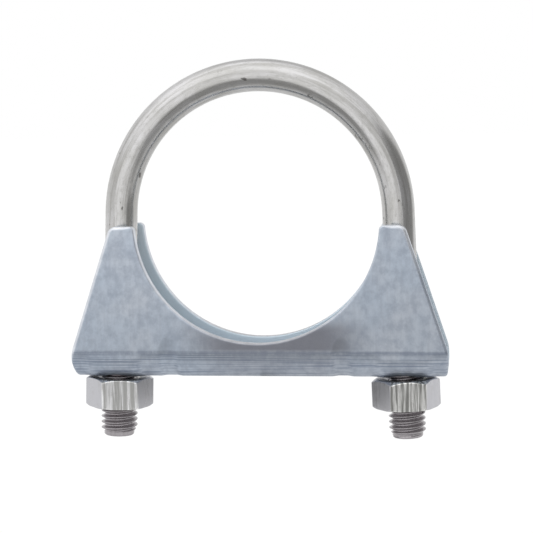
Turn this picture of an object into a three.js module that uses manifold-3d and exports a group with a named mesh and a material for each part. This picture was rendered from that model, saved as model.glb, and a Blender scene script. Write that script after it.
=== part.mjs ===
// U-bolt clamp for a 52 mm exhaust pipe: a bent rod with two M8 threaded legs, a folded
// sheet-steel saddle that slides on the legs, and two hexagon nuts.
// Millimetres, +Z up. The origin is the axis of the clamped pipe, which runs along Y.
import * as THREE from 'three';
import { mergeVertices } from 'three/addons/utils/BufferGeometryUtils.js';
import Module from 'manifold-3d';

const wasm = await Module();
wasm.setup();

// ---- Driving dimensions ----

// Bent rod
const ROD_RADIUS = 3.55;
const BEND_RADIUS = 30.1;
const LEG_SPLAY = THREE.MathUtils.degToRad(2.0);
const STUD_END_Z = -48.15;
const ROD_SIDES = 18;
const ROD_STEPS = 50;

// Rolled M8 thread
const PITCH = 1.25;
const THREAD_RADIUS = 3.97;
const THREAD_DEPTH = 0.767;
const THREAD_CREST = 0.16;
const THREAD_LENGTH = 22.5;
const THREAD_RUN_OUT = 2.0;
const STUD_CHAMFER = 0.75;
const TURN_STEPS = 16;

// A small overlap or clearance that keeps two surfaces from coinciding
const CLEAR = 0.1;

// Hexagon nut, 13 mm across flats
const NUT_FLATS = 13;
const NUT_HEIGHT = 6.45;
const NUT_CHAMFER_RADIUS = 6.25;
const NUT_FOOT_CHAMFER_RADIUS = 6.75;
const NUT_CHAMFER_SLOPE = Math.tan(Math.PI / 6);
const NUT_CHAMFER_SIDES = 30;
const NUT_MOUTH_RADIUS = 4.7;
const NUT_THREAD_GAP = 0.4;
const NUT_SEAT_GAP = 0.3;
const RIGHT_NUT_TURN = THREE.MathUtils.degToRad(6.5);
const LEFT_NUT_TURN = THREE.MathUtils.degToRad(11.5);

// Folded saddle
const SHEET = 2.3;
const SADDLE_DEPTH = 13.5;
const SADDLE_BOTTOM_Z = -34.75;
const FOLD_RADIUS = 6.15;
const EAR_TOP_Z = -1.8;
const EAR_OUTER_X = 31.6;
const WIDEST_X = 40.95;
const WIDEST_Z = -29.8;
const FOOT_X = 40.4;
const PIPE_CUT_RADIUS = 26.3;
const PIPE_CUT_Z = -0.75;
const CUT_STEPS = 40;
const FOLD_STEPS = 8;

// Seats for the nuts, where the fold is pressed squarer, and the slots that the legs pass through
const SEAT_RADIUS = 5.8;
const SEAT_SIDES = 24;
const SEAT_PROUD = 0.15;
const SEAT_FOLD_RADIUS = 4.7;
const SLOT_RADIUS = 4.3;
const SLOT_HALF_LENGTH = 4.8;

// Stiffening darts pressed across the fold
const DART_X = 18.7;
const DART_HALF_WIDTH = 2.4;
const DART_DEPTH = 0.75;
const DART_TOP_Z = -25.6;
const DART_STEPS = 18;

// ---- Materials ----

const ROD_ZINC = { color: 0x9d9f9f, roughness: 0.38, metalness: 0.9 };
const SADDLE_ZINC = { color: 0x8c96a1, roughness: 0.48, metalness: 0.85 };
const NUT_ZINC = { color: 0xa3a4a3, roughness: 0.33, metalness: 0.92 };

// ---- Solids and geometry ----

const X_AXIS = new THREE.Vector3(1, 0, 0);
const Y_AXIS = new THREE.Vector3(0, 1, 0);
const Z_AXIS = new THREE.Vector3(0, 0, 1);

// A closed three.js geometry as a solid that can be joined and cut.
function solidOf(geometry) {
  const bare = geometry.index ? geometry : geometry.clone();
  bare.deleteAttribute('normal');
  bare.deleteAttribute('uv');
  const welded = mergeVertices(bare, 1e-5);
  const vertProperties = Float32Array.from(welded.attributes.position.array);
  const triVerts = Uint32Array.from(welded.index.array);
  return new wasm.Manifold(new wasm.Mesh({ numProp: 3, vertProperties, triVerts }));
}

// A solid back as three.js geometry.
function geometryOf(solid) {
  const mesh = solid.getMesh();
  const geometry = new THREE.BufferGeometry();
  geometry.setAttribute('position', new THREE.BufferAttribute(mesh.vertProperties, 3));
  geometry.setIndex(new THREE.BufferAttribute(mesh.triVerts, 1));
  geometry.computeVertexNormals();
  return geometry;
}

// A solid of revolution about Z, from [radius, height] pairs that start and end on the axis.
function turned(profile, sides) {
  const points = profile.map(([radius, height]) => new THREE.Vector2(radius, height));
  const geometry = new THREE.LatheGeometry(points, sides);
  return geometry.rotateX(Math.PI / 2);
}

// A flat outline given in X and Z, made solid from -halfDepth to +halfDepth along Y.
function plateInXZ(points, halfDepth) {
  const shape = new THREE.Shape(points);
  const geometry = new THREE.ExtrudeGeometry(shape, { depth: 2 * halfDepth, bevelEnabled: false });
  const frame = new THREE.Matrix4().makeBasis(X_AXIS, Z_AXIS, Y_AXIS.clone().negate());
  return geometry.translate(0, 0, -halfDepth).applyMatrix4(frame);
}

// A flat outline given in Y and Z, made solid from -halfLength to +halfLength along X.
function barInYZ(points, halfLength) {
  const shape = new THREE.Shape(points);
  const geometry = new THREE.ExtrudeGeometry(shape, { depth: 2 * halfLength, bevelEnabled: false });
  const frame = new THREE.Matrix4().makeBasis(Y_AXIS, Z_AXIS, X_AXIS);
  return geometry.translate(0, 0, -halfLength).applyMatrix4(frame);
}

function arcPoints(x, y, radius, start, end, steps) {
  const clockwise = end < start;
  return new THREE.EllipseCurve(x, y, radius, radius, start, end, clockwise).getPoints(steps);
}

// ---- Legs ----

// Both legs leave the bend along its tangents, so each leans outward by LEG_SPLAY.
const LEG_TOP_X = BEND_RADIUS * Math.cos(LEG_SPLAY);
const LEG_TOP_Z = BEND_RADIUS * Math.sin(LEG_SPLAY);
const LEG_LENGTH = (LEG_TOP_Z - STUD_END_Z) / Math.cos(LEG_SPLAY);

// Distance up a leg from its stud end to the height z.
function alongLeg(z) {
  return (z - STUD_END_Z) / Math.cos(LEG_SPLAY);
}

// Places something made about Z, with the stud end at height 0, on the right or left leg.
function legFrame(side) {
  const stud = new THREE.Object3D();
  stud.position.set(side * (LEG_TOP_X + LEG_LENGTH * Math.sin(LEG_SPLAY)), 0, STUD_END_Z);
  stud.rotation.y = -side * LEG_SPLAY;
  stud.updateMatrix();
  return stud.matrix;
}

// ---- Thread ----

// A right-hand screw about Z with a 60 degree profile: one strip that winds round from
// height start, meets itself one pitch up, and is closed to the axis at both ends.
function screw(start, turns, growth) {
  const crestRadius = THREAD_RADIUS + growth;
  const rootRadius = crestRadius - THREAD_DEPTH;
  const flank = THREAD_DEPTH * Math.tan(Math.PI / 6);
  const root = PITCH - THREAD_CREST - 2 * flank;
  const profile = [
    [rootRadius, 0],
    [rootRadius, root],
    [crestRadius, root + flank],
    [crestRadius, root + flank + THREAD_CREST],
  ];
  const rows = profile.length;
  const last = turns * TURN_STEPS;
  const positions = [];
  for (let step = 0; step <= last + TURN_STEPS; step++) {
    const angle = (2 * Math.PI * step) / TURN_STEPS;
    const lift = start + (PITCH * step) / TURN_STEPS;
    for (const [radius, height] of profile) {
      positions.push(radius * Math.cos(angle), radius * Math.sin(angle), lift + height);
    }
  }
  const low = positions.length / 3;
  const high = low + 1;
  positions.push(0, 0, start);
  positions.push(0, 0, start + PITCH * (turns + 1));

  // The top row of one turn is the bottom row of the next.
  const at = (step, row) => (row < rows ? step * rows + row : (step + TURN_STEPS) * rows);
  const faces = [];
  for (let step = 0; step < last; step++) {
    for (let row = 0; row < rows; row++) {
      faces.push(at(step, row), at(step + 1, row), at(step + 1, row + 1));
      faces.push(at(step, row), at(step + 1, row + 1), at(step, row + 1));
    }
  }
  for (let step = 0; step < TURN_STEPS; step++) {
    faces.push(low, at(step + 1, 0), at(step, 0));
    faces.push(high, at(last + step, 0), at(last + step + 1, 0));
  }
  for (let row = 0; row < rows; row++) {
    faces.push(low, at(0, row), at(0, row + 1));
    faces.push(high, at(last, row + 1), at(last, row));
  }
  const geometry = new THREE.BufferGeometry();
  geometry.setAttribute('position', new THREE.Float32BufferAttribute(positions, 3));
  geometry.setIndex(faces);
  return geometry;
}

// ---- Bent rod with its two threaded legs ----

// The centre line of the plain rod: up the right leg, round the bend, down the left leg.
class RodLine extends THREE.Curve {
  constructor(shankLength) {
    super();
    this.shank = shankLength;
    this.bend = BEND_RADIUS * (Math.PI - 2 * LEG_SPLAY);
  }

  getPoint(fraction, target = new THREE.Vector3()) {
    const distance = fraction * (this.bend + 2 * this.shank);
    const middle = distance - this.shank - this.bend / 2;
    const beyond = Math.max(0, Math.abs(middle) - this.bend / 2);
    const angle = Math.PI / 2 + Math.sign(middle) * (Math.abs(middle) - beyond) / BEND_RADIUS;
    const side = -Math.sign(middle);
    return target.set(
      BEND_RADIUS * Math.cos(angle) + side * beyond * Math.sin(LEG_SPLAY),
      0,
      BEND_RADIUS * Math.sin(angle) - beyond * Math.cos(LEG_SPLAY),
    );
  }
}

function threadedEnd() {
  const thread = solidOf(screw(-PITCH, Math.ceil(THREAD_LENGTH / PITCH) + 1, 0));
  const rootRadius = THREAD_RADIUS - THREAD_DEPTH;
  const envelope = solidOf(turned([
    [0, 0],
    [THREAD_RADIUS - STUD_CHAMFER, 0],
    [THREAD_RADIUS + CLEAR, STUD_CHAMFER],
    [THREAD_RADIUS + CLEAR, THREAD_LENGTH - THREAD_RUN_OUT / 2],
    [ROD_RADIUS - CLEAR, THREAD_LENGTH],
    [0, THREAD_LENGTH],
  ], TURN_STEPS));
  const runOut = solidOf(turned([
    [0, THREAD_LENGTH - THREAD_RUN_OUT],
    [rootRadius, THREAD_LENGTH - THREAD_RUN_OUT],
    [ROD_RADIUS - CLEAR / 2, THREAD_LENGTH - CLEAR],
    [ROD_RADIUS - CLEAR / 2, THREAD_LENGTH + 1],
    [0, THREAD_LENGTH + 1],
  ], ROD_SIDES));
  return geometryOf(thread.intersect(envelope).add(runOut));
}

function uBolt() {
  const section = new THREE.Shape(arcPoints(0, 0, ROD_RADIUS, 0, 2 * Math.PI, ROD_SIDES).slice(1));
  const line = new RodLine(LEG_LENGTH - THREAD_LENGTH);
  let bolt = solidOf(new THREE.ExtrudeGeometry(section, { steps: ROD_STEPS, extrudePath: line }));
  for (const side of [1, -1]) {
    const end = threadedEnd();
    if (side < 0) end.rotateZ(Math.PI);
    bolt = bolt.add(solidOf(end.applyMatrix4(legFrame(side))));
  }
  return geometryOf(bolt);
}

// ---- Nut ----

const SEAT_Z = SADDLE_BOTTOM_Z - SEAT_PROUD;
const SEAT_X = LEG_TOP_X + (LEG_TOP_Z - SEAT_Z) * Math.tan(LEG_SPLAY);
const NUT_TOP = alongLeg(SEAT_Z) - NUT_SEAT_GAP;
const NUT_BOTTOM = NUT_TOP - NUT_HEIGHT;

// The nut in its leg's frame, with its corners turned from the X axis.
function nut(turn) {
  const cornerRadius = NUT_FLATS / Math.sqrt(3);
  const hexagon = new THREE.CylinderGeometry(cornerRadius, cornerRadius, NUT_HEIGHT, 6);
  hexagon.rotateX(Math.PI / 2).rotateZ(Math.PI / 6 + turn);
  hexagon.translate(0, 0, NUT_BOTTOM + NUT_HEIGHT / 2);
  const rim = cornerRadius + 0.3;
  const chamfer = (rim - NUT_CHAMFER_RADIUS) * NUT_CHAMFER_SLOPE;
  const footChamfer = (rim - NUT_FOOT_CHAMFER_RADIUS) * NUT_CHAMFER_SLOPE;
  const envelope = turned([
    [0, NUT_BOTTOM],
    [NUT_FOOT_CHAMFER_RADIUS, NUT_BOTTOM],
    [rim, NUT_BOTTOM + footChamfer],
    [rim, NUT_TOP - chamfer],
    [NUT_CHAMFER_RADIUS, NUT_TOP],
    [0, NUT_TOP],
  ], NUT_CHAMFER_SIDES);
  const firstPitch = Math.floor(NUT_BOTTOM / PITCH) - 1;
  const turns = Math.ceil(NUT_HEIGHT / PITCH) + 2;
  const tap = screw(firstPitch * PITCH, turns, NUT_THREAD_GAP);
  let solid = solidOf(hexagon).intersect(solidOf(envelope)).subtract(solidOf(tap));
  const mouthDepth = NUT_MOUTH_RADIUS - (THREAD_RADIUS + NUT_THREAD_GAP - THREAD_DEPTH) + 0.1;
  for (const [face, inward] of [[NUT_BOTTOM, 1], [NUT_TOP, -1]]) {
    const mouth = [
      [0, face - inward],
      [NUT_MOUTH_RADIUS + 1, face - inward],
      [NUT_MOUTH_RADIUS - mouthDepth, face + inward * mouthDepth],
      [0, face + inward * mouthDepth],
    ];
    if (inward < 0) mouth.reverse();
    solid = solid.subtract(solidOf(turned(mouth, TURN_STEPS)));
  }
  return geometryOf(solid);
}

// ---- Saddle ----

// The folded sheet's section in Y and Z, at an inset from its outer surface.
function foldOutline(inset, foldRadius = FOLD_RADIUS, bottomZ = SADDLE_BOTTOM_Z) {
  const halfDepth = SADDLE_DEPTH / 2 - inset;
  const radius = foldRadius - inset;
  const centreY = halfDepth - radius;
  const centreZ = bottomZ + foldRadius;
  const top = EAR_TOP_Z + 2;
  return [
    new THREE.Vector2(halfDepth, top),
    new THREE.Vector2(-halfDepth, top),
    ...arcPoints(-centreY, centreZ, radius, Math.PI, 1.5 * Math.PI, FOLD_STEPS),
    ...arcPoints(centreY, centreZ, radius, 1.5 * Math.PI, 2 * Math.PI, FOLD_STEPS),
  ];
}

// A corner of an outline, rounded off between two points near it.
function corner(before, tip, after) {
  return new THREE.QuadraticBezierCurve(before, tip, after).getPoints(3);
}

// The saddle's outline in X and Z: two ears, sloping sides, short feet and the pipe cut.
function sideOutline() {
  const ear = new THREE.Vector2(EAR_OUTER_X, EAR_TOP_Z);
  const wide = new THREE.Vector2(WIDEST_X, WIDEST_Z);
  const foot = new THREE.Vector2(FOOT_X, SADDLE_BOTTOM_Z - 0.02);
  const slope = wide.clone().sub(ear).normalize();
  const drop = foot.clone().sub(wide).normalize();
  const along = (point, direction, distance) => point.clone().addScaledVector(direction, distance);
  const lipAngle = -THREE.MathUtils.degToRad(4.5);
  const lip = new THREE.Vector2(
    PIPE_CUT_RADIUS * Math.cos(lipAngle),
    PIPE_CUT_Z + PIPE_CUT_RADIUS * Math.sin(lipAngle),
  );
  const inner = new THREE.Vector2(PIPE_CUT_RADIUS, EAR_TOP_Z);
  const right = [
    ...corner(new THREE.Vector2(FOOT_X - 0.7, foot.y), foot, along(foot, drop, -0.7)),
    ...corner(along(wide, drop, 0.9), wide, along(wide, slope, -0.9)),
    ...corner(along(ear, slope, 1.4), ear, new THREE.Vector2(EAR_OUTER_X - 1.4, EAR_TOP_Z)),
    ...corner(new THREE.Vector2(PIPE_CUT_RADIUS + 1.0, EAR_TOP_Z), inner, lip),
  ];
  const left = right.map((point) => new THREE.Vector2(-point.x, point.y)).reverse();
  const cut = arcPoints(0, PIPE_CUT_Z, PIPE_CUT_RADIUS, lipAngle, -Math.PI - lipAngle, CUT_STEPS);
  return [...right, ...cut.slice(1, -1), ...left];
}

// The line of a dart in the Y-Z plane: down the front, round the fold and up the back.
// It lifts off the sheet at both upper ends, which rounds them.
class DartLine extends THREE.Curve {
  constructor(inset, lift) {
    super();
    this.halfDepth = SADDLE_DEPTH / 2 - inset;
    this.radius = FOLD_RADIUS - inset;
    this.lift = lift;
    this.wall = DART_TOP_Z - (SADDLE_BOTTOM_Z + FOLD_RADIUS);
    this.seat = 2 * (this.halfDepth - this.radius);
    this.quarter = (this.radius * Math.PI) / 2;
    this.half = this.wall + this.quarter + this.seat / 2;
  }

  getPoint(fraction, target = new THREE.Vector3()) {
    const distance = (2 * fraction - 1) * this.half;
    const side = Math.sign(distance) || 1;
    const away = Math.abs(distance);
    const turn = THREE.MathUtils.clamp((away - this.seat / 2) / this.radius, 0, Math.PI / 2);
    const rise = Math.max(0, away - this.seat / 2 - this.quarter);
    const flare = this.lift * (rise / this.wall) ** 4;
    const y = Math.min(away, this.seat / 2) + this.radius * Math.sin(turn) + flare;
    const z = SADDLE_BOTTOM_Z + FOLD_RADIUS - this.radius * Math.cos(turn) + rise;
    return target.set(0, side * y, z);
  }
}

function dart(inset, lift) {
  const section = new THREE.Shape();
  section.absellipse(0, 0, DART_HALF_WIDTH, DART_DEPTH, 0, 2 * Math.PI);
  return new THREE.ExtrudeGeometry(section, {
    steps: DART_STEPS,
    curveSegments: 5,
    extrudePath: new DartLine(inset, lift),
  });
}

function saddle() {
  const outline = solidOf(plateInXZ(sideOutline(), SADDLE_DEPTH));
  const channel = solidOf(barInYZ(foldOutline(0), 2 * WIDEST_X));
  const hollow = solidOf(barInYZ(foldOutline(SHEET), 2 * WIDEST_X));
  const squarer = solidOf(barInYZ(foldOutline(0, SEAT_FOLD_RADIUS, SEAT_Z), 2 * WIDEST_X));
  const slotHeight = FOLD_RADIUS + SHEET;
  const slotPoints = [
    ...arcPoints(SLOT_HALF_LENGTH - SLOT_RADIUS, 0, SLOT_RADIUS, -Math.PI / 2, Math.PI / 2, 8),
    ...arcPoints(SLOT_RADIUS - SLOT_HALF_LENGTH, 0, SLOT_RADIUS, Math.PI / 2, 1.5 * Math.PI, 8),
  ];
  const slotShape = new THREE.Shape(slotPoints);
  let body = channel.intersect(outline);
  for (const side of [1, -1]) {
    const round = new THREE.CylinderGeometry(SEAT_RADIUS, SEAT_RADIUS, 2 * FOLD_RADIUS, SEAT_SIDES);
    round.rotateX(Math.PI / 2).translate(side * SEAT_X, 0, SEAT_Z);
    body = body.add(squarer.intersect(solidOf(round)));
  }
  body = body.subtract(hollow);
  for (const side of [1, -1]) {
    const slot = new THREE.ExtrudeGeometry(slotShape, { depth: slotHeight, bevelEnabled: false });
    slot.translate(0, 0, alongLeg(SEAT_Z) - SHEET / 2);
    body = body.subtract(solidOf(slot.applyMatrix4(legFrame(side))));
    const rib = dart(SHEET, DART_DEPTH).translate(side * DART_X, 0, 0);
    const groove = dart(0, DART_DEPTH).translate(side * DART_X, 0, 0);
    body = body.add(solidOf(rib)).subtract(solidOf(groove));
  }
  return geometryOf(body);
}

// ---- Assembly ----

function named(name, geometry, finish) {
  const mesh = new THREE.Mesh(geometry, new THREE.MeshStandardMaterial(finish));
  mesh.name = name;
  return mesh;
}

// A nut on its leg: the group stands at the stud end and leans with the leg.
function nutOnLeg(name, side, turn) {
  const leg = new THREE.Group();
  leg.applyMatrix4(legFrame(side));
  const hexNut = named(name, nut(side < 0 ? turn - Math.PI : turn), NUT_ZINC);
  if (side < 0) hexNut.rotation.z = Math.PI;
  leg.add(hexNut);
  return leg;
}

const clamp = new THREE.Group();
clamp.add(named('u_bolt', uBolt(), ROD_ZINC));
clamp.add(named('saddle', saddle(), SADDLE_ZINC));
clamp.add(nutOnLeg('left_hex_nut', -1, LEFT_NUT_TURN));
clamp.add(nutOnLeg('right_hex_nut', 1, RIGHT_NUT_TURN));

export default clamp;
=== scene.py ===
"""Looks of the U-bolt clamp: rolled threads, pressed sheet steel, chamfered nuts and zinc plating.

Lengths in the shape functions are millimetres in the frame's own axes; meshes are written in metres.
"""
import math

import bpy
import numpy as np
from mathutils import Matrix, Vector


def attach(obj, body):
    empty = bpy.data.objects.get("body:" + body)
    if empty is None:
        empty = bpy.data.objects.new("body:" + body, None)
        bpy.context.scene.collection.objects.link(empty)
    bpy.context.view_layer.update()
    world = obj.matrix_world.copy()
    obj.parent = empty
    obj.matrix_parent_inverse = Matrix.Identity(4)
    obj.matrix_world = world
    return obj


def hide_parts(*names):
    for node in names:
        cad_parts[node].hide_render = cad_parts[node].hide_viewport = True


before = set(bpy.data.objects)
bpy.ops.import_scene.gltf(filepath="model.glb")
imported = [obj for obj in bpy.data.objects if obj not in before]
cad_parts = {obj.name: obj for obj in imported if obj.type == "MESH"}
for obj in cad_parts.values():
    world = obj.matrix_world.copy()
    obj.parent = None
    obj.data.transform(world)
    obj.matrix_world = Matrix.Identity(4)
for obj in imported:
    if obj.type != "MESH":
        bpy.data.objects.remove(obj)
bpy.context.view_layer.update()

MM = 0.001

# ---- Driving dimensions, in millimetres ----
# They are nearly the CAD model's: some differ by tenths, and the surface stays inside the CAD box.

ROD_RADIUS = 3.49
BEND_RADIUS = 30.1
LEG_SPLAY = math.radians(2.0)
STUD_END_Z = -48.15

PITCH = 1.25
THREAD_RADIUS = 3.97
THREAD_DEPTH = 0.767
THREAD_CREST = 0.16
THREAD_LENGTH = 22.5
THREAD_RUN_OUT = 2.0
THREAD_START = math.radians(123)
STUD_TIP_RADIUS = 3.3
STUD_TIP_LENGTH = 0.9

NUT_FLATS = 13.0
NUT_HEIGHT = 6.45
NUT_CHAMFER_RADIUS = {"left": 6.55, "right": 6.15}
NUT_FOOT_CHAMFER_RADIUS = 6.75
NUT_MOUTH_RADIUS = 4.7
NUT_THREAD_GAP = 0.3
NUT_SEAT_GAP = 0.27
NUT_TURNS = {"left": math.radians(11.5), "right": math.radians(6.5)}

SHEET = 2.3
SADDLE_DEPTH = 13.5
SADDLE_BOTTOM_Z = -34.93
FOLD_RADIUS = 6.15
EAR_TOP_Z = -1.8
EAR_OUTER_X = 31.6
WIDEST_X = 40.9
WIDEST_Z = -29.8
FOOT_X = 40.35
PIPE_CUT_RADIUS = 26.3
PIPE_CUT_Z = -0.75
SEAT_RADIUS = 5.8
SEAT_FOLD_RADIUS = 4.7
SLOT_RADIUS = 4.3
SLOT_HALF_LENGTH = 4.8
DART_X = 18.7
DART_SHIFT = -0.65
DART_HALF_WIDTH = 2.4
DART_TOP_TAPER = 0.45
DART_DEPTH = 0.45
DART_TOP_Z = -25.6

LEG_TOP_X = BEND_RADIUS * math.cos(LEG_SPLAY)
LEG_TOP_Z = BEND_RADIUS * math.sin(LEG_SPLAY)
LEG_LENGTH = (LEG_TOP_Z - STUD_END_Z) / math.cos(LEG_SPLAY)
STUD_END_X = LEG_TOP_X + LEG_LENGTH * math.sin(LEG_SPLAY)
SEAT_X = LEG_TOP_X + (LEG_TOP_Z - SADDLE_BOTTOM_Z) * math.tan(LEG_SPLAY)


def along_leg(z):
    """Distance up a leg from its stud end to the height z."""
    return (z - STUD_END_Z) / math.cos(LEG_SPLAY)


NUT_TOP = along_leg(SADDLE_BOTTOM_Z) - NUT_SEAT_GAP
NUT_MIDDLE = NUT_TOP - NUT_HEIGHT / 2


# ---- Meshes ----


def make_piece(name, points, faces, normals=None):
    """A smooth-shaded object from points in millimetres and a face array."""
    mesh = bpy.data.meshes.new(name)
    mesh.from_pydata((points * MM).tolist(), [], faces.tolist())
    mesh.validate()
    mesh.polygons.foreach_set("use_smooth", np.ones(len(mesh.polygons), bool))
    if normals is not None:
        mesh.normals_split_custom_set_from_vertices(normals.tolist())
    mesh.update()
    piece = bpy.data.objects.new(name, mesh)
    bpy.context.scene.collection.objects.link(piece)
    return piece


def fillet_max(a, b, radius):
    """The intersection of two fields with its edge rounded to a radius."""
    inner = np.minimum(np.maximum(a, b), -radius)
    return inner + np.hypot(np.maximum(a + radius, 0), np.maximum(b + radius, 0))


def smooth_step(low, high, value):
    """0 below low, 1 above high and a smooth rise between them."""
    share = np.clip((value - low) / (high - low), 0, 1)
    return share * share * (3 - 2 * share)


CORNERS = np.array([(i, j, k) for i in (0, 1) for j in (0, 1) for k in (0, 1)])
CORNER_PAIRS = [(a, b) for a in range(8) for b in range(a + 1, 8)]
CELL_EDGES = [(a, b) for a, b in CORNER_PAIRS if np.abs(CORNERS[a] - CORNERS[b]).sum() == 1]


def gradient(field, points, step=0.01):
    """The slope of a field at some points, which looks outward."""
    found = np.empty_like(points)
    for axis in range(3):
        shift = np.zeros(3)
        shift[axis] = step
        ahead = field(*(points + shift).T)
        behind = field(*(points - shift).T)
        found[:, axis] = (ahead - behind) / (2 * step)
    return found


def surface_of(field, low, high, cell):
    """Points and quads of the closed surface where a field is 0, by naive surface nets."""
    low = np.array(low, float)
    high = np.array(high, float)
    counts = np.ceil((high - low) / cell).astype(int) + 1
    axes = [low[i] + cell * np.arange(counts[i]) for i in range(3)]
    grid = np.meshgrid(*[a.astype(np.float32) for a in axes], indexing="ij", sparse=True)
    values = np.broadcast_to(field(*grid), counts).astype(np.float32)
    inside = values < 0
    total = np.zeros(counts - 1, np.uint8)
    for corner in CORNERS:
        window = tuple(slice(c, c + n - 1) for c, n in zip(corner, counts))
        total += inside[window]
    cells = np.argwhere((total > 0) & (total < 8))
    at_corner = [values[tuple((cells + corner).T)] for corner in CORNERS]
    summed = np.zeros((len(cells), 3))
    crossings = np.zeros(len(cells))
    for a, b in CELL_EDGES:
        crossed = (at_corner[a] < 0) != (at_corner[b] < 0)
        share = np.where(crossed, at_corner[a] / np.where(crossed, at_corner[a] - at_corner[b], 1), 0)
        spot = CORNERS[a] + share[:, None] * (CORNERS[b] - CORNERS[a])
        summed += np.where(crossed[:, None], spot, 0)
        crossings += crossed
    points = low + cell * (cells + summed / crossings[:, None])

    index = np.full(counts - 1, -1, np.int64)
    index[tuple(cells.T)] = np.arange(len(cells))
    quads = []
    for axis in range(3):
        others = [(axis + 1) % 3, (axis + 2) % 3]
        first = [slice(None)] * 3
        second = [slice(None)] * 3
        first[axis] = slice(0, -1)
        second[axis] = slice(1, None)
        changed = inside[tuple(first)] != inside[tuple(second)]
        for other in others:
            trim = [slice(None)] * 3
            trim[other] = slice(1, -1)
            changed = changed[tuple(trim)]
        where = np.argwhere(changed)
        for other in others:
            where[:, other] += 1
        u, v = np.eye(3, dtype=int)[others]
        ring = [index[tuple((where + shift).T)] for shift in (-u - v, -v, 0 * u, -u)]
        quad = np.stack(ring, 1)
        leaving = inside[tuple(where.T)]
        quads.append(np.where(leaving[:, None], quad, quad[:, ::-1]))
    faces = np.concatenate(quads)
    for _ in range(3):
        slope = gradient(field, points)
        steepness = np.maximum((slope**2).sum(1), 0.2)
        points = points - slope * (field(*points.T) / steepness)[:, None]
    return points, faces


def unit_normals(field, points):
    """Unit outward normals of a field at some points."""
    slope = gradient(field, points)
    return slope / np.maximum(np.linalg.norm(slope, axis=1), 1e-9)[:, None]


def thinned(name, field, points, faces, most_triangles):
    """The surface with its flat stretches in larger triangles, and exact normals."""
    rough = make_piece(name, points, faces)
    share = most_triangles / (2 * len(faces))
    if share < 1:
        modifier = rough.modifiers.new("thin", "DECIMATE")
        modifier.ratio = share
        graph = bpy.context.evaluated_depsgraph_get()
        mesh = bpy.data.meshes.new_from_object(rough.evaluated_get(graph), depsgraph=graph)
        rough.modifiers.clear()
        rough.data = mesh
        rough.data.name = name
    mesh = rough.data
    flat = np.empty(3 * len(mesh.vertices), np.float32)
    mesh.vertices.foreach_get("co", flat)
    kept = flat.reshape(-1, 3).astype(float) / MM
    mesh.polygons.foreach_set("use_smooth", np.ones(len(mesh.polygons), bool))
    mesh.normals_split_custom_set_from_vertices(unit_normals(field, kept).tolist())
    mesh.update()
    return rough


# ---- Saddle ----


def in_leg_frame(x, z):
    """X and Z of points in the frame of the nearer leg, which stands at its stud end."""
    across = np.abs(x) - STUD_END_X
    up = z - STUD_END_Z
    cos = math.cos(LEG_SPLAY)
    sin = math.sin(LEG_SPLAY)
    return across * cos + up * sin, up * cos - across * sin


def line_field(x, z, start, end):
    """Distance to the left of the line from start to end, seen with X right and Z up."""
    run = end[0] - start[0]
    rise = end[1] - start[1]
    return (-(x - start[0]) * rise + (z - start[1]) * run) / math.hypot(run, rise)


def saddle_outline(x, z):
    """The saddle's outline seen along Y: ears, sloping sides, feet and the pipe cut."""
    side = np.abs(x)
    wide = (WIDEST_X, WIDEST_Z)
    slope = line_field(side, z, (EAR_OUTER_X, EAR_TOP_Z), wide)
    foot = line_field(side, z, wide, (FOOT_X, SADDLE_BOTTOM_Z))
    edge = fillet_max(slope, foot, 0.8)
    edge = np.where(z < WIDEST_Z - 1, fillet_max(edge, SADDLE_BOTTOM_Z - 0.2 - z, 0.7), edge)
    edge = fillet_max(edge, z - EAR_TOP_Z, 1.3)
    cut = PIPE_CUT_RADIUS - np.hypot(x, z - PIPE_CUT_Z)
    return fillet_max(edge, cut, 1.0)


def dart_depth(x, y, z):
    """How far the darts press the sheet in: a hollow round its length, shallow under the fold."""
    shoulder = DART_TOP_Z - DART_HALF_WIDTH / DART_TOP_TAPER
    above = np.maximum(z - shoulder, 0) * DART_TOP_TAPER
    reach = np.hypot(np.abs(x - DART_SHIFT) - DART_X, above) / DART_HALF_WIDTH
    under = 0.4 + 0.6 * smooth_step(0.5, 4.5, np.abs(y))
    return DART_DEPTH * under * (1 - smooth_step(0.35, 1.05, reach))


def saddle_field(x, y, z):
    """The folded sheet with its darts and leg slots, squarer under the nuts and rounder between them."""
    squarer = 1 - smooth_step(SEAT_RADIUS - 1.8, SEAT_RADIUS + 1.0, np.abs(np.abs(x) - SEAT_X))
    radius = FOLD_RADIUS + (SEAT_FOLD_RADIUS - FOLD_RADIUS) * squarer
    across = np.maximum(np.abs(y) - (SADDLE_DEPTH / 2 - radius), 0)
    fold = np.hypot(across, np.maximum(SADDLE_BOTTOM_Z + radius - z, 0)) - radius
    outer = fold + dart_depth(x, y, z)
    outline = saddle_outline(x, z)
    rounding = 0.4 + 0.45 * smooth_step(26.5, 29.0, np.abs(x))
    body = np.maximum(fillet_max(outer, outline, rounding), fillet_max(-outer - SHEET, outline, 0.3))
    leg_x, _ = in_leg_frame(x, z)
    slot = SLOT_RADIUS - np.hypot(np.maximum(np.abs(leg_x) - SLOT_HALF_LENGTH + SLOT_RADIUS, 0), y)
    return fillet_max(body, slot, 0.3)


SADDLE_CELL = 0.2
SADDLE_MOST_TRIANGLES = 190000


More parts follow.
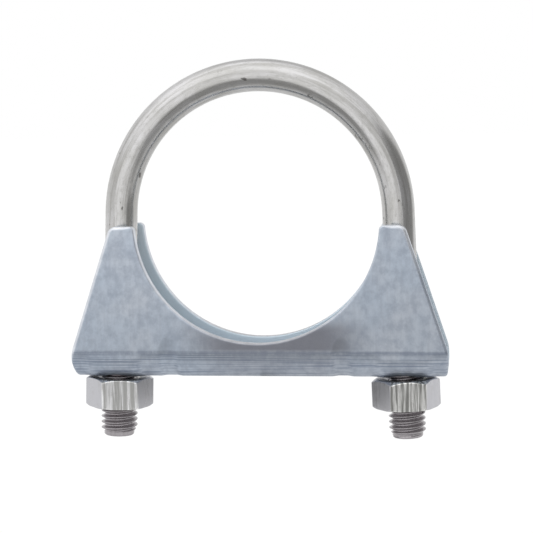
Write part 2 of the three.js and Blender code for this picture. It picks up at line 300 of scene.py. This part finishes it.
def make_saddle():
    """The sheet, which also stores how far each point is from the nearest cut edge."""
    reach_x = WIDEST_X + 0.4
    reach_y = SADDLE_DEPTH / 2 + 0.45
    low = (-reach_x, -reach_y, SADDLE_BOTTOM_Z - 0.57)
    high = (reach_x, reach_y, EAR_TOP_Z + 0.6)
    points, faces = surface_of(saddle_field, low, high, SADDLE_CELL)
    saddle = thinned("saddle_sheet", saddle_field, points, faces, SADDLE_MOST_TRIANGLES)
    mesh = saddle.data
    flat = np.empty(3 * len(mesh.vertices), np.float32)
    mesh.vertices.foreach_get("co", flat)
    x, _, z = flat.reshape(-1, 3).astype(float).T / MM
    from_edge = mesh.attributes.new("from_edge", "FLOAT", "POINT")
    from_edge.data.foreach_set("value", (-saddle_outline(x, z)).astype(np.float32))
    return saddle


# ---- Bent rod ----

ROD_COLUMNS = 56
THREAD_ROW = 0.05
SHANK_ROW = 0.6
FLANK = THREAD_DEPTH * math.tan(math.pi / 6)
CREST_PHASE = (PITCH - FLANK - THREAD_CREST / 2) / PITCH


def thread_groove(turn_share):
    """Depth below the crest at a share of one pitch, softened where it was rolled."""
    away = np.abs(turn_share - np.round(turn_share)) * PITCH
    down = np.clip((away - THREAD_CREST / 2) / FLANK, 0, 1)
    return THREAD_DEPTH * (0.8 * down + 0.2 * down * down * (3 - 2 * down))


def stud_radius(height, angle):
    """Radius of a leg at a height above its stud end and an angle about it."""
    turns = height / PITCH - (angle - THREAD_START) / (2 * math.pi)
    shank = smooth_step(THREAD_LENGTH - THREAD_RUN_OUT, THREAD_LENGTH, height)
    thread = (THREAD_RADIUS - thread_groove(turns - CREST_PHASE)) * (1 - shank) + ROD_RADIUS * shank
    tip = np.minimum(STUD_TIP_RADIUS, STUD_TIP_RADIUS - 0.25 + height)
    tip = tip + np.maximum(height - STUD_TIP_LENGTH, 0)
    return np.minimum(tip, thread)


def make_rod():
    """One closed tube: up the right leg, round the bend and down the left leg."""
    thread_rows = np.arange(0, THREAD_LENGTH, THREAD_ROW)
    shank_rows = np.arange(THREAD_LENGTH, LEG_LENGTH, SHANK_ROW)
    bend_length = BEND_RADIUS * (math.pi - 2 * LEG_SPLAY)
    bend_rows = LEG_LENGTH + np.linspace(0, bend_length, round(bend_length / SHANK_ROW))
    whole = 2 * LEG_LENGTH + bend_length
    leg_rows = np.concatenate([thread_rows, shank_rows])
    rows = np.concatenate([leg_rows, bend_rows, (whole - leg_rows)[::-1]])[:, None]
    height = np.minimum(rows, whole - rows)
    side = np.where(rows < whole / 2, 1, -1)
    down = np.maximum(LEG_LENGTH - height, 0)
    bend = np.clip(rows - LEG_LENGTH, 0, bend_length) / BEND_RADIUS + LEG_SPLAY
    outward_x, outward_z = np.cos(bend), np.sin(bend)
    centre_x = BEND_RADIUS * outward_x + side * down * math.sin(LEG_SPLAY)
    centre_z = BEND_RADIUS * outward_z - down * math.cos(LEG_SPLAY)

    turn = 2 * math.pi * np.arange(ROD_COLUMNS) / ROD_COLUMNS + 0 * rows
    # Each leg's own angle runs anticlockwise seen from above, so both threads are right-handed.
    radius = np.where(height < THREAD_LENGTH, stud_radius(height, turn * side), ROD_RADIUS)
    out = radius * np.cos(turn)
    back = radius * np.sin(turn)
    tube = np.stack([centre_x + out * outward_x, back, centre_z + out * outward_z], -1)
    straight = np.stack([rows + 0 * turn, out, back], -1)
    caps = []
    for end in (0, -1):
        middle = np.array([centre_x[end, 0], 0, centre_z[end, 0]])
        caps.append([middle + (tube[end] - middle) * share for share in (0.96, 0.5, 0.02)])
    rings = np.concatenate([caps[0][::-1], tube, caps[1]])
    flat = np.concatenate([[straight[0]] * 3, straight, [straight[-1]] * 3])

    first = np.arange(len(rings) - 1)[:, None] * ROD_COLUMNS
    column = np.arange(ROD_COLUMNS)
    beside = (column + 1) % ROD_COLUMNS
    ring = [first + beside, first + column, first + column + ROD_COLUMNS, first + beside + ROD_COLUMNS]
    quads = np.stack(ring, -1)
    faces = quads.reshape(-1, 4).tolist()
    last = (len(rings) - 1) * ROD_COLUMNS
    faces.append(column.tolist())
    faces.append((last + column[::-1]).tolist())
    mesh = bpy.data.meshes.new("bent_rod")
    mesh.from_pydata((rings.reshape(-1, 3) * MM).tolist(), [], faces)
    mesh.polygons.foreach_set("use_smooth", np.ones(len(mesh.polygons), bool))
    stored = mesh.attributes.new("straightened", "FLOAT_VECTOR", "POINT")
    stored.data.foreach_set("vector", flat.reshape(-1))
    mesh.update()
    rod = bpy.data.objects.new("bent_rod", mesh)
    bpy.context.scene.collection.objects.link(rod)
    return rod


# ---- Nuts ----

NUT_CELL = 0.125
NUT_MOST_TRIANGLES = 90000


def nut_field(turn, chamfer_radius):
    """A chamfered hexagon nut with a tapped hole, in its leg's frame."""

    def field(x, y, z):
        away = np.hypot(x, y)
        angle = np.arctan2(y, x)
        flats = None
        for k in range(3):
            normal = turn + math.pi / 6 + k * math.pi / 3
            pair = np.abs(x * math.cos(normal) + y * math.sin(normal)) - NUT_FLATS / 2
            flats = pair if flats is None else fillet_max(flats, pair, 0.35)
        from_face = NUT_HEIGHT / 2 - np.abs(z - NUT_MIDDLE)
        rim = np.where(z > NUT_MIDDLE, chamfer_radius, NUT_FOOT_CHAMFER_RADIUS)
        chamfer = (away - rim) * 0.5 - from_face * 0.866
        body = fillet_max(fillet_max(flats, chamfer, 0.12), -from_face, 0.12)
        turns = z / PITCH - (angle - THREAD_START) / (2 * math.pi)
        hole = THREAD_RADIUS + NUT_THREAD_GAP - thread_groove(turns - CREST_PHASE)
        mouth = NUT_MOUTH_RADIUS - from_face * 0.7
        return np.maximum(body, (np.maximum(hole, mouth) - away) * 0.8)

    return field


def make_nut(name, side, turn):
    """A nut on its leg: side is 1 on the right and -1 on the left."""
    # The left thread stands half a turn round, so its nut is made half a turn back and then turned.
    half_turn = 0 if side > 0 else math.pi
    field = nut_field(turn - half_turn, NUT_CHAMFER_RADIUS["right" if side > 0 else "left"])
    reach = NUT_FLATS / math.sqrt(3) + 0.4
    low = (-reach, -reach, NUT_MIDDLE - NUT_HEIGHT / 2 - 0.3)
    high = (reach, reach, NUT_MIDDLE + NUT_HEIGHT / 2 + 0.3)
    points, faces = surface_of(field, low, high, NUT_CELL)
    nut = thinned(name, field, points, faces, NUT_MOST_TRIANGLES)
    lean = Matrix.Rotation(-side * LEG_SPLAY, 4, "Y")
    about = Matrix.Rotation(half_turn, 4, "Z")
    foot = Matrix.Translation(Vector((side * STUD_END_X, 0, STUD_END_Z)) * MM)
    nut.data.transform(foot @ lean @ about)
    return nut


# ---- Materials ----


class Surface:
    """A plated metal surface, built node by node in millimetre coordinates."""

    def __init__(self, name, attribute=None):
        self.material = bpy.data.materials.new(name)
        self.material.use_nodes = True
        self.nodes = self.material.node_tree.nodes
        self.links = self.material.node_tree.links
        self.shader = self.nodes["Principled BSDF"]
        self.shader.inputs["Metallic"].default_value = 1.0
        if attribute:
            source = self.nodes.new("ShaderNodeAttribute")
            source.attribute_name = attribute
            self.place = source.outputs["Vector"]
        else:
            source = self.nodes.new("ShaderNodeTexCoord")
            self.place = self.scaled(source.outputs["Object"], (1000, 1000, 1000))

    def put(self, value, socket):
        if hasattr(value, "is_output"):
            self.links.new(value, socket)
        else:
            socket.default_value = value

    def scaled(self, vector, scale):
        node = self.nodes.new("ShaderNodeVectorMath")
        node.operation = "MULTIPLY"
        self.put(vector, node.inputs[0])
        node.inputs[1].default_value = scale
        return node.outputs[0]

    def noise(self, scale, detail=2.0, rough=0.5, seed=0.0):
        """Noise from 0 to 1 whose grain per millimetre along each axis is scale."""
        node = self.nodes.new("ShaderNodeTexNoise")
        node.noise_dimensions = "4D"
        node.inputs["W"].default_value = seed
        node.inputs["Scale"].default_value = 1.0
        node.inputs["Detail"].default_value = detail
        node.inputs["Roughness"].default_value = rough
        self.put(self.scaled(self.place, scale), node.inputs["Vector"])
        return node.outputs["Fac"]

    def math(self, operation, a, b=0.0):
        node = self.nodes.new("ShaderNodeMath")
        node.operation = operation
        self.put(a, node.inputs[0])
        self.put(b, node.inputs[1])
        return node.outputs[0]

    def ramp(self, value, low, high, to_low=0.0, to_high=1.0):
        """The value's way from low to high, smoothly mapped to the other two numbers."""
        node = self.nodes.new("ShaderNodeMapRange")
        node.interpolation_type = "SMOOTHSTEP"
        self.put(value, node.inputs["Value"])
        node.inputs["From Min"].default_value = low
        node.inputs["From Max"].default_value = high
        node.inputs["To Min"].default_value = to_low
        node.inputs["To Max"].default_value = to_high
        return node.outputs["Result"]

    def mix(self, share, a, b):
        node = self.nodes.new("ShaderNodeMix")
        node.data_type = "RGBA"
        self.put(share, node.inputs["Factor"])
        self.put(a, node.inputs["A"])
        self.put(b, node.inputs["B"])
        return node.outputs["Result"]

    def axes(self):
        node = self.nodes.new("ShaderNodeSeparateXYZ")
        self.put(self.place, node.inputs[0])
        return node.outputs

    def bump(self, height, depth):
        """Relief of a depth in millimetres."""
        node = self.nodes.new("ShaderNodeBump")
        node.inputs["Strength"].default_value = 1.0
        node.inputs["Distance"].default_value = depth * MM
        self.put(height, node.inputs["Height"])
        self.put(node.outputs["Normal"], self.shader.inputs["Normal"])

    def finish(self, colour, roughness):
        self.put(colour, self.shader.inputs["Base Color"])
        self.put(roughness, self.shader.inputs["Roughness"])
        return self.material


def saddle_material():
    """Clouded zinc with rolling lines on the fold, darker in the middle below the pipe cut, lighter
    edges of wear and painted highlight, and painted light on the inside faces.
    """
    s = Surface("saddle_zinc")
    x, y, z = s.axes()
    cloud = s.noise((0.09, 0.09, 0.09), 3.0, 0.55, 3.0)
    mottle = s.noise((0.55, 0.55, 0.45), 5.0, 0.65, 5.0)
    streak = s.noise((1.6, 0.6, 0.12), 2.0, 0.5, 8.0)
    rolled = s.noise((0.03, 0.8, 3.6), 3.0, 0.6, 1.0)
    bend = s.ramp(z, -28.2, -29.4)
    colour = s.mix(s.ramp(cloud, 0.3, 0.7), (0.45, 0.51, 0.59, 1), (0.50, 0.54, 0.60, 1))
    colour = s.mix(s.ramp(mottle, 0.35, 0.7, 0.0, 0.65), colour, (0.31, 0.35, 0.42, 1))
    colour = s.mix(s.ramp(streak, 0.4, 0.8, 0.0, 0.35), colour, (0.35, 0.38, 0.44, 1))
    lines = s.math("MULTIPLY", s.ramp(rolled, 0.46, 0.6), bend)
    colour = s.mix(s.math("MULTIPLY", lines, 0.8), colour, (0.22, 0.26, 0.34, 1))
    crease = s.math("MULTIPLY", s.ramp(z, -28.4, -28.8), s.ramp(z, -30.0, -29.1))
    creased = s.math("MULTIPLY", crease, s.ramp(mottle, 0.3, 0.6, 0.25, 0.7))
    colour = s.mix(creased, colour, (0.24, 0.27, 0.33, 1))
    # Darker towards the middle below the pipe cut, mottled, and fainter on the fold.
    middle = s.ramp(s.math("ABSOLUTE", s.math("SUBTRACT", x, 4.0)), 23.0, 9.0)
    low = s.ramp(s.math("ADD", z, s.math("MULTIPLY", mottle, 3.0)), -19.5, -23.0)
    darker_middle = s.math("MULTIPLY", s.math("MULTIPLY", middle, low), s.ramp(z, -28.0, -29.2, 0.92, 0.25))
    colour = s.mix(darker_middle, colour, (0.21, 0.215, 0.245, 1))
    # Lighter edges: edge wear with painted highlight along the cut edges, narrower near the pipe cut and
    # off the fold, left off the right outer edge as painted shade.
    edge = s.nodes.new("ShaderNodeAttribute")
    edge.attribute_name = "from_edge"
    narrower = s.ramp(s.math("ABSOLUTE", x), 29.0, 26.0, 0.0, 0.5)
    wear_and_painted_light = s.ramp(s.math("ADD", edge.outputs["Fac"], narrower), 0.85, 0.35)
    wear_and_painted_light = s.math("MULTIPLY", wear_and_painted_light, s.ramp(z, -31.0, -29.0))
    wear_and_painted_light = s.math("MULTIPLY", wear_and_painted_light, s.ramp(x, 35.5, 32.0))
    wear_and_painted_light = s.math("MULTIPLY", wear_and_painted_light, s.ramp(mottle, 0.25, 0.6, 0.9, 0.6))
    colour = s.mix(wear_and_painted_light, colour, (0.80, 0.81, 0.84, 1))
    # Painted light: the inside faces get a lighter colour and less metal, standing in for light bouncing
    # inside the channel.
    inside = s.math("MULTIPLY", s.ramp(s.math("ABSOLUTE", y), 4.75, 4.5), s.ramp(z, -32.0, -31.0))
    colour = s.mix(inside, colour, (0.60, 0.69, 0.76, 1))
    s.put(s.math("SUBTRACT", 0.95, s.math("MULTIPLY", inside, 0.7)), s.shader.inputs["Metallic"])
    roughness = s.ramp(mottle, 0.3, 0.7, 0.40, 0.50)
    grain = s.noise((3.0, 3.0, 3.0), 3.0, 0.6, 2.0)
    relief = s.math("ADD", grain, s.math("MULTIPLY", s.math("MULTIPLY", rolled, bend), 1.5))
    s.bump(relief, 0.02)
    return s.finish(colour, roughness)


def bolt_material():
    """Drawn wire: streaks along the rod, a few dark specks, and a darker thread."""
    s = Surface("bolt_zinc", "straightened")
    along, _, _ = s.axes()
    patch = s.noise((0.10, 0.25, 0.25), 4.0, 0.65, 2.0)
    drawn = s.noise((0.05, 1.6, 1.6), 4.0, 0.65, 4.0)
    grain = s.noise((0.8, 1.8, 1.8), 4.0, 0.7, 11.0)
    pits = s.noise((0.30, 0.55, 0.55), 3.0, 0.55, 6.0)
    whole = 2 * LEG_LENGTH + BEND_RADIUS * (math.pi - 2 * LEG_SPLAY)
    from_end = s.math("MINIMUM", along, s.math("SUBTRACT", whole, along))
    threaded = s.ramp(from_end, THREAD_LENGTH, THREAD_LENGTH - 1.5)
    colour = s.mix(s.ramp(patch, 0.3, 0.7), (0.575, 0.57, 0.575, 1), (0.45, 0.445, 0.43, 1))
    colour = s.mix(s.ramp(drawn, 0.44, 0.64, 0.0, 0.6), colour, (0.31, 0.305, 0.29, 1))
    colour = s.mix(s.ramp(grain, 0.48, 0.72, 0.0, 0.5), colour, (0.32, 0.315, 0.30, 1))
    speck = s.ramp(pits, 0.655, 0.70)
    colour = s.mix(s.math("MULTIPLY", speck, 0.8), colour, (0.10, 0.095, 0.09, 1))
    colour = s.mix(s.math("MULTIPLY", threaded, 0.7), colour, (0.29, 0.265, 0.285, 1))
    roughness = s.ramp(grain, 0.3, 0.7, 0.16, 0.28)
    relief = s.math("SUBTRACT", s.math("ADD", drawn, s.math("MULTIPLY", grain, 0.6)), speck)
    s.bump(relief, 0.02)
    return s.finish(colour, roughness)


def nut_material():
    """Zinc with brushed streaks on the front and back flats. These flats carry painted light as a far
    lighter base colour, a little less on the right nut, whose streaks are darker, part wear and part
    painted shade.
    """
    s = Surface("nut_zinc")
    x, _, _ = s.axes()
    brushed = s.noise((1.5, 1.5, 0.06), 3.0, 0.65, 4.0)
    fine = s.noise((5.0, 5.0, 0.3), 2.0, 0.6, 7.0)
    stain = s.noise((0.5, 0.5, 0.4), 3.0, 0.6, 9.0)
    from_middle = s.math("ABSOLUTE", x)
    right = s.ramp(x, -1.0, 1.0)
    from_middle = s.math("SUBTRACT", from_middle, s.math("MULTIPLY", right, 2.0))
    front_flat = s.math("MULTIPLY", s.ramp(from_middle, 26.3, 26.5), s.ramp(from_middle, 34.1, 33.9))
    streaks = s.ramp(brushed, 0.42, 0.56)
    # Streak colour: wear, darker on the right nut as painted shade.
    wear_and_painted_light = s.mix(right, (0.46, 0.46, 0.45, 1), (0.25, 0.25, 0.24, 1))
    # Painted light: the front and back flats get a far lighter base colour than the other flats, a
    # little less on the right nut as painted shade.
    painted_light_base = s.mix(front_flat, (0.50, 0.50, 0.525, 1), (0.98, 0.98, 0.99, 1))
    painted_light_base = s.mix(s.math("MULTIPLY", right, front_flat), painted_light_base, (0.85, 0.85, 0.83, 1))
    colour = s.mix(s.math("MULTIPLY", streaks, front_flat), painted_light_base, wear_and_painted_light)
    colour = s.mix(s.math("MULTIPLY", s.ramp(fine, 0.4, 0.7, 0.0, 0.4), front_flat), colour, wear_and_painted_light)
    colour = s.mix(s.ramp(stain, 0.5, 0.8, 0.0, 0.4), colour, (0.36, 0.35, 0.34, 1))
    roughness = s.ramp(brushed, 0.3, 0.7, 0.25, 0.4)
    relief = s.math("MULTIPLY", s.math("ADD", brushed, s.math("MULTIPLY", fine, 0.4)), front_flat)
    s.bump(relief, 0.05)
    return s.finish(colour, roughness)


# ---- Pieces ----

bolt_zinc = bolt_material()
saddle_zinc = saddle_material()
nut_zinc = nut_material()


def place_piece(piece, material, body, node):
    piece.data.materials.clear()
    piece.data.materials.append(material)
    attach(piece, body)
    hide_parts(node)
    print(piece.name, sum(len(face.vertices) - 2 for face in piece.data.polygons), "triangles")


place_piece(make_rod(), bolt_zinc, "u_bolt", "u_bolt")
place_piece(make_saddle(), saddle_zinc, "saddle", "saddle")
for hand, side in (("left", -1), ("right", 1)):
    nut = make_nut(hand + "_chamfered_nut", side, NUT_TURNS[hand])
    place_piece(nut, nut_zinc, hand + "_nut", hand + "_hex_nut")

# ---- Floor, light and camera ----

SQUARE = ((-1, -1), (1, -1), (1, 1), (-1, 1))
FLOOR_REACH = 3.0  # metres
FLOOR_GAP = 0.13


def make_floor():
    """A pale floor under the stud ends that glows like a lit table, brightest seen along it."""
    mesh = bpy.data.meshes.new("floor")
    level = (STUD_END_Z - FLOOR_GAP) * MM
    corners = [(i * FLOOR_REACH, j * FLOOR_REACH, level) for i, j in SQUARE]
    mesh.from_pydata(corners, [], [(0, 1, 2, 3)])
    floor = bpy.data.objects.new("floor", mesh)
    bpy.context.scene.collection.objects.link(floor)
    material = bpy.data.materials.new("pale_floor")
    material.use_nodes = True
    nodes = material.node_tree.nodes
    nodes.clear()
    facing = nodes.new("ShaderNodeLayerWeight")
    facing.inputs["Blend"].default_value = 0.5
    strength = nodes.new("ShaderNodeMapRange")
    strength.interpolation_type = "SMOOTHSTEP"
    strength.inputs["From Min"].default_value = 0.55
    strength.inputs["From Max"].default_value = 0.735
    strength.inputs["To Min"].default_value = 0.88
    strength.inputs["To Max"].default_value = 1.03
    glow = nodes.new("ShaderNodeEmission")
    output = nodes.new("ShaderNodeOutputMaterial")
    link = material.node_tree.links.new
    link(facing.outputs["Facing"], strength.inputs["Value"])
    link(strength.outputs["Result"], glow.inputs["Strength"])
    link(glow.outputs["Emission"], output.inputs["Surface"])
    mesh.materials.append(material)


# Each soft light of the room: its direction, the angles where it is full and where it ends, its gain.
ROOM_LIGHT = 1.0
SOFT_LIGHTS = (
    ((-0.25, -0.45, 0.85), 15, 60, 0.5),
    ((0.0, 0.75, 0.65), 10, 32, -0.22),
)
# Studio cards, seen only in reflections: the middle, the two half sides and the brightness.
# The dark flag darkens the right, the dark table the fold, and the low flag the nuts' inner flats.
CARDS = (
    ("dark_flag", (135, -75, 25), (0, 168, 0), (0, 0, 95), 0.36),
    ("light_card", (-95, -210, 25), (170, 0, 0), (0, 0, 90), 1.25),
    ("dark_table", (0, -92, -47.5), (130, 0, 0), (0, 80, 0), 0.42),
    ("low_flag", (0, 12, -41), (0, 22, 0), (0, 0, 11), 0.3),
)


def make_card(name, middle, across, up, brightness):
    """A soft-edged card, hidden from the camera."""
    middle, across, up = (Vector(side) * MM for side in (middle, across, up))
    mesh = bpy.data.meshes.new(name)
    corners = [middle + i * across + j * up for i, j in SQUARE]
    mesh.from_pydata(corners, [], [(0, 1, 2, 3)])
    corner_of = mesh.attributes.new("corner", "FLOAT_VECTOR", "POINT")
    corner_of.data.foreach_set("vector", [value for i, j in SQUARE for value in (i, j, 0)])
    card = bpy.data.objects.new(name, mesh)
    bpy.context.scene.collection.objects.link(card)
    card.visible_camera = False
    material = bpy.data.materials.new(name)
    material.use_nodes = True
    nodes = material.node_tree.nodes
    link = material.node_tree.links.new
    nodes.clear()
    place = nodes.new("ShaderNodeAttribute")
    place.attribute_name = "corner"
    reach = nodes.new("ShaderNodeVectorMath")
    reach.operation = "LENGTH"
    share = nodes.new("ShaderNodeMapRange")
    share.interpolation_type = "SMOOTHSTEP"
    share.inputs["From Min"].default_value = 1.0
    share.inputs["From Max"].default_value = 0.6
    clear = nodes.new("ShaderNodeBsdfTransparent")
    glow = nodes.new("ShaderNodeEmission")
    glow.inputs["Strength"].default_value = brightness
    blend = nodes.new("ShaderNodeMixShader")
    output = nodes.new("ShaderNodeOutputMaterial")
    link(place.outputs["Vector"], reach.inputs[0])
    link(reach.outputs["Value"], share.inputs["Value"])
    link(share.outputs["Result"], blend.inputs["Fac"])
    link(clear.outputs["BSDF"], blend.inputs[1])
    link(glow.outputs["Emission"], blend.inputs[2])
    link(blend.outputs["Shader"], output.inputs["Surface"])
    mesh.materials.append(material)


def light_world():
    """A white tent, brightest above the front and a little darker above the back."""
    world = bpy.data.worlds.new("soft_room")
    world.use_nodes = True
    bpy.context.scene.world = world
    nodes = world.node_tree.nodes
    link = world.node_tree.links.new
    coords = nodes.new("ShaderNodeTexCoord")
    total = nodes.new("ShaderNodeValue").outputs[0]
    total.default_value = ROOM_LIGHT
    for direction, full, end, gain in SOFT_LIGHTS:
        toward = nodes.new("ShaderNodeVectorMath")
        toward.operation = "DOT_PRODUCT"
        toward.inputs[1].default_value = Vector(direction).normalized()
        share = nodes.new("ShaderNodeMapRange")
        share.interpolation_type = "SMOOTHSTEP"
        share.inputs["From Min"].default_value = math.cos(math.radians(end))
        share.inputs["From Max"].default_value = math.cos(math.radians(full))
        share.inputs["To Max"].default_value = gain
        added = nodes.new("ShaderNodeMath")
        link(coords.outputs["Generated"], toward.inputs[0])
        link(toward.outputs["Value"], share.inputs["Value"])
        link(total, added.inputs[0])
        link(share.outputs["Result"], added.inputs[1])
        total = added.outputs[0]
    link(total, nodes["Background"].inputs["Strength"])
    nodes["Background"].inputs["Color"].default_value = (1, 1, 1, 1)


CAMERA_PLACE = (44.7, -350, 24.4)
CAMERA_YAW = math.radians(7.03)
CAMERA_PITCH = math.radians(-5.75)
CAMERA_ROLL = math.radians(-0.91)
SENSOR_WIDTH = 36.0
IMAGE_WIDTH = 533
FOCAL_PIXELS = 1638


def make_camera():
    """The photograph's viewpoint, fitted to the outline of the part."""
    yaw, pitch, roll = CAMERA_YAW, CAMERA_PITCH, CAMERA_ROLL
    ahead = Vector((-math.sin(yaw) * math.cos(pitch), math.cos(yaw) * math.cos(pitch), math.sin(pitch)))
    level = ahead.cross(Vector((0, 0, 1))).normalized()
    above = level.cross(ahead)
    right = level * math.cos(roll) + above * math.sin(roll)
    up = above * math.cos(roll) - level * math.sin(roll)
    data = bpy.data.cameras.new("camera")
    data.sensor_width = SENSOR_WIDTH
    data.lens = SENSOR_WIDTH * FOCAL_PIXELS / IMAGE_WIDTH
    data.clip_start = 0.01
    camera = bpy.data.objects.new("camera", data)
    bpy.context.scene.collection.objects.link(camera)
    turned = Matrix((right, up, -ahead)).transposed().to_4x4()
    camera.matrix_world = Matrix.Translation(Vector(CAMERA_PLACE) * MM) @ turned
    bpy.context.scene.camera = camera


make_floor()
for card in CARDS:
    make_card(*card)
light_world()
make_camera()
bpy.context.scene.view_settings.view_transform = "Standard"
